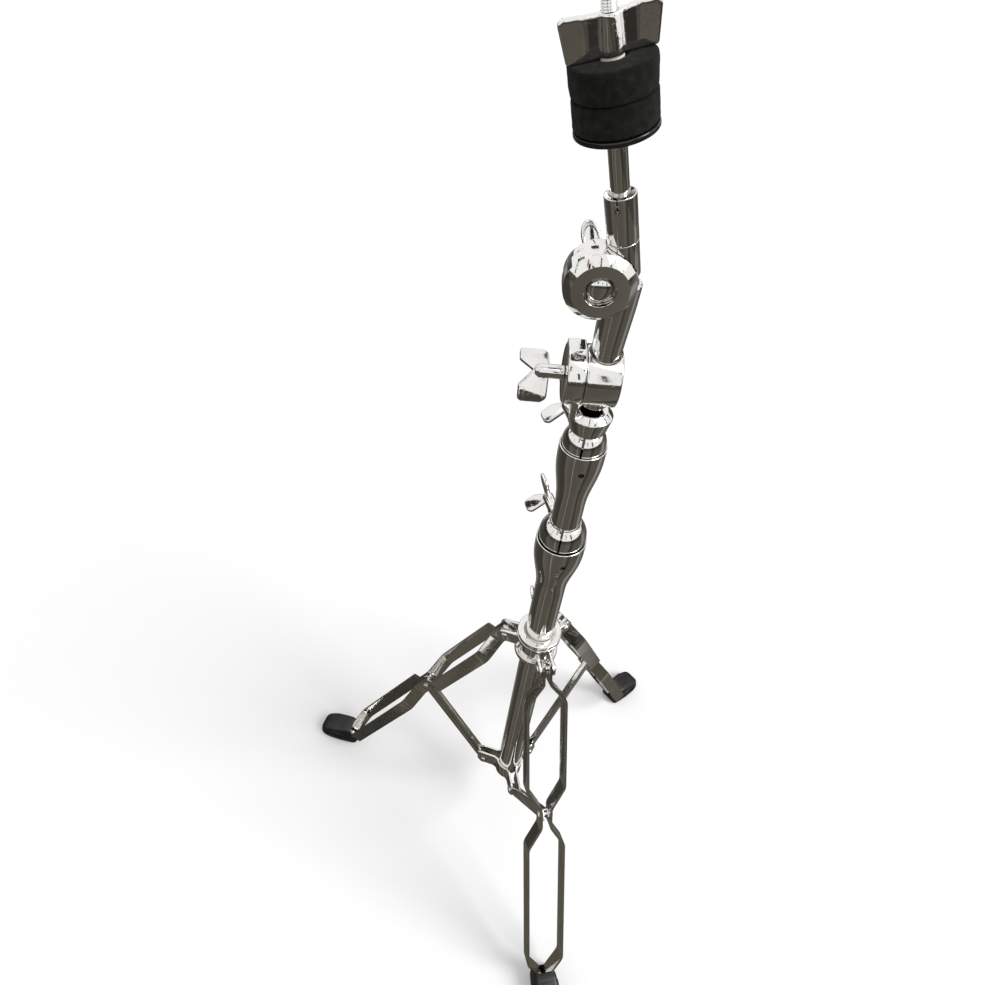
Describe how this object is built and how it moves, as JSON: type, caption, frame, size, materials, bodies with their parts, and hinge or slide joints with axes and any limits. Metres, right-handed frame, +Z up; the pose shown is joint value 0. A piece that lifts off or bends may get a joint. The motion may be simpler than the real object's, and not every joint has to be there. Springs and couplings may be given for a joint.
{
  "type": "cymbal boom stand",
  "caption": "Chromed cymbal boom stand: double-braced tripod, telescoping tubes, two tilters, short boom arm and felted cymbal seat.",
  "frame": {"origin": "centre of the flat rubber plug face under the base tube", "axes": "+Z up the base tube; the front leg points along -Y; the fixed drum of the lower tilter lies towards -X"},
  "size_m": [0.4946, 0.4287, 0.9399],
  "materials": {
    "chrome": "polished chrome plate with fine scratches",
    "black_rubber": "matte black rubber",
    "black_plastic": "glossy black plastic",
    "black_felt": "pressed black felt",
    "nylon": "off-white nylon"
  },
  "bodies": {
    "stand_base": {"base_plug": "black_rubber", "base_tube": "chrome", "base_clamp_ring": "chrome", "lower_collar_plate_left": "chrome", "lower_collar_plate_front": "chrome", "lower_collar_plate_right": "chrome", "front_lower_rivet": "chrome", "right_lower_rivet": "chrome", "left_lower_rivet": "chrome"},
    "base_bolt": {"base_wing_bolt": "chrome"},
    "collar": {"leg_collar": "chrome", "leg_collar_bush": "nylon", "front_collar_rivet": "chrome", "right_collar_rivet": "chrome", "left_collar_rivet": "chrome"},
    "collar_bolt": {"collar_wing_bolt": "chrome"},
    "base_turning_bush": {"base_bush": "nylon"},
    "mid_section": {"mid_tube": "chrome", "mid_clamp_ring": "chrome"},
    "mid_bolt": {"mid_wing_bolt": "chrome"},
    "mid_turning_bush": {"mid_bush": "nylon"},
    "upper_section": {"upper_tube": "chrome", "tilter_base": "chrome"},
    "tilter_bolt": {"tilter_wing_bolt": "chrome"},
    "turning_drum": {"boom_drum": "chrome"},
    "boom_turning_bush": {"boom_bush": "nylon"},
    "boom": {"boom_tube": "chrome", "boom_head": "chrome", "upper_tilter_bolt": "chrome"},
    "arm": {"tilter_arm": "chrome", "short_tube": "chrome", "cymbal_rod": "chrome", "seat_cup": "black_plastic", "cymbal_sleeve": "nylon"},
    "ear_nut": {"upper_wing_nut": "chrome"},
    "felt_low": {"lower_felt": "black_felt"},
    "felt_high": {"upper_felt": "black_felt"},
    "cymbal_nut": {"cymbal_wing_nut": "chrome"},
    "strut_front": {"front_strut": "chrome", "front_brace_rivet": "chrome"},
    "leg_front": {"front_leg_strip_a": "chrome", "front_leg_strip_b": "chrome", "front_foot": "black_rubber"},
    "strut_right": {"right_strut": "chrome", "right_brace_rivet": "chrome"},
    "leg_right": {"right_leg_strip_a": "chrome", "right_leg_strip_b": "chrome", "right_foot": "black_rubber"},
    "strut_left": {"left_strut": "chrome", "left_brace_rivet": "chrome"},
    "leg_left": {"left_leg_strip_a": "chrome", "left_leg_strip_b": "chrome", "left_foot": "black_rubber"}
  },
  "joints": [
    {"name": "front_strut_fold", "type": "hinge", "parent": "stand_base", "child": "strut_front", "pos_m": [-0.00059, -0.03399, -0.002], "axis": [-0.9998, 0.0175, 0], "range_deg": [0, 25.31]},
    {"name": "front_leg_fold", "type": "hinge", "parent": "strut_front", "child": "leg_front", "pos_m": [-0.00207, -0.11877, 0.14054], "axis": [-0.9998, 0.0175, 0], "range_deg": [-48.4, 0]},
    {"name": "right_strut_fold", "type": "hinge", "parent": "stand_base", "child": "strut_right", "pos_m": [0.02988, 0.01622, -0.002], "axis": [0.4772, -0.8788, 0], "range_deg": [0, 25.4]},
    {"name": "right_leg_fold", "type": "hinge", "parent": "strut_right", "child": "leg_right", "pos_m": [0.10439, 0.05668, 0.14054], "axis": [0.4772, -0.8788, 0], "range_deg": [-48.4, 0]},
    {"name": "left_strut_fold", "type": "hinge", "parent": "stand_base", "child": "strut_left", "pos_m": [-0.02944, 0.017, -0.002], "axis": [0.5, 0.866, 0], "range_deg": [0, 25.4]},
    {"name": "left_leg_fold", "type": "hinge", "parent": "strut_left", "child": "leg_left", "pos_m": [-0.10287, 0.05939, 0.14054], "axis": [0.5, 0.866, 0], "range_deg": [-48.4, 0]},
    {"name": "leg_collar_slide", "type": "slide", "parent": "stand_base", "child": "collar", "axis": [0, 0, 1], "range_m": [0, 0.043]},
    {"name": "collar_bolt_turn", "type": "hinge", "parent": "collar", "child": "collar_bolt", "pos_m": [0, 0, 0.3], "axis": [0.2079, 0.9781, 0], "continuous": true},
    {"name": "base_bolt_turn", "type": "hinge", "parent": "stand_base", "child": "base_bolt", "pos_m": [0, 0, 0.471], "axis": [-0.0523, 0.9986, 0], "continuous": true},
    {"name": "mid_section_turn", "type": "hinge", "parent": "stand_base", "child": "base_turning_bush", "pos_m": [0, 0, 0.4], "axis": [0, 0, 1], "continuous": true},
    {"name": "mid_section_slide", "type": "slide", "parent": "base_turning_bush", "child": "mid_section", "axis": [0, 0, 1], "range_m": [-0.02, 0.3]},
    {"name": "mid_bolt_turn", "type": "hinge", "parent": "mid_section", "child": "mid_bolt", "pos_m": [0, 0, 0.578], "axis": [-0.0523, 0.9986, 0], "continuous": true},
    {"name": "upper_section_turn", "type": "hinge", "parent": "mid_section", "child": "mid_turning_bush", "pos_m": [0, 0, 0.55], "axis": [0, 0, 1], "continuous": true},
    {"name": "upper_section_slide", "type": "slide", "parent": "mid_turning_bush", "child": "upper_section", "axis": [0, 0, 1], "range_m": [0, 0.3]},
    {"name": "tilter_bolt_turn", "type": "hinge", "parent": "upper_section", "child": "tilter_bolt", "pos_m": [0, 0, 0.636], "axis": [0.9703, -0.2419, 0], "continuous": true},
    {"name": "boom_tilt", "type": "hinge", "parent": "upper_section", "child": "turning_drum", "pos_m": [0, 0, 0.636], "axis": [0.9703, -0.2419, 0], "range_deg": [-80, 80]},
    {"name": "boom_turn", "type": "hinge", "parent": "turning_drum", "child": "boom_turning_bush", "pos_m": [0.00039, -0.0001, 0.636], "axis": [-0.0169, -0.0677, 0.9976], "continuous": true},
    {"name": "boom_slide", "type": "slide", "parent": "boom_turning_bush", "child": "boom", "axis": [-0.0169, -0.0677, 0.9976], "range_m": [0, 0.02]},
    {"name": "arm_tilt", "type": "hinge", "parent": "boom", "child": "arm", "pos_m": [-0.01662, -0.00136, 0.71231], "axis": [0.2413, 0.9679, 0.0698], "range_deg": [-120, 15]},
    {"name": "ear_nut_turn", "type": "hinge", "parent": "arm", "child": "ear_nut", "pos_m": [-0.01662, -0.00136, 0.71231], "axis": [0.2413, 0.9679, 0.0698], "continuous": true},
    {"name": "lower_felt_lift", "type": "slide", "parent": "arm", "child": "felt_low", "axis": [-0.2788, 0.0003, 0.9603], "range_m": [0, 0.006]},
    {"name": "upper_felt_lift", "type": "slide", "parent": "felt_low", "child": "felt_high", "axis": [-0.2788, 0.0003, 0.9603], "range_m": [0, 0.006]},
    {"name": "cymbal_nut_turn", "type": "hinge", "parent": "felt_high", "child": "cymbal_nut", "pos_m": [-0.00156, -0.00543, 0.71669], "axis": [-0.2788, 0.0003, 0.9603], "continuous": true}
  ],
  "couplings": [
    {"joint": "front_leg_fold", "follows": "front_strut_fold", "ratio": -1.908},
    {"joint": "right_strut_fold", "follows": "front_strut_fold", "ratio": 1},
    {"joint": "right_leg_fold", "follows": "front_strut_fold", "ratio": -1.908},
    {"joint": "left_strut_fold", "follows": "front_strut_fold", "ratio": 1},
    {"joint": "left_leg_fold", "follows": "front_strut_fold", "ratio": -1.908},
    {"joint": "leg_collar_slide", "follows": "front_strut_fold", "m_per_rad": 0.09734}
  ]
}
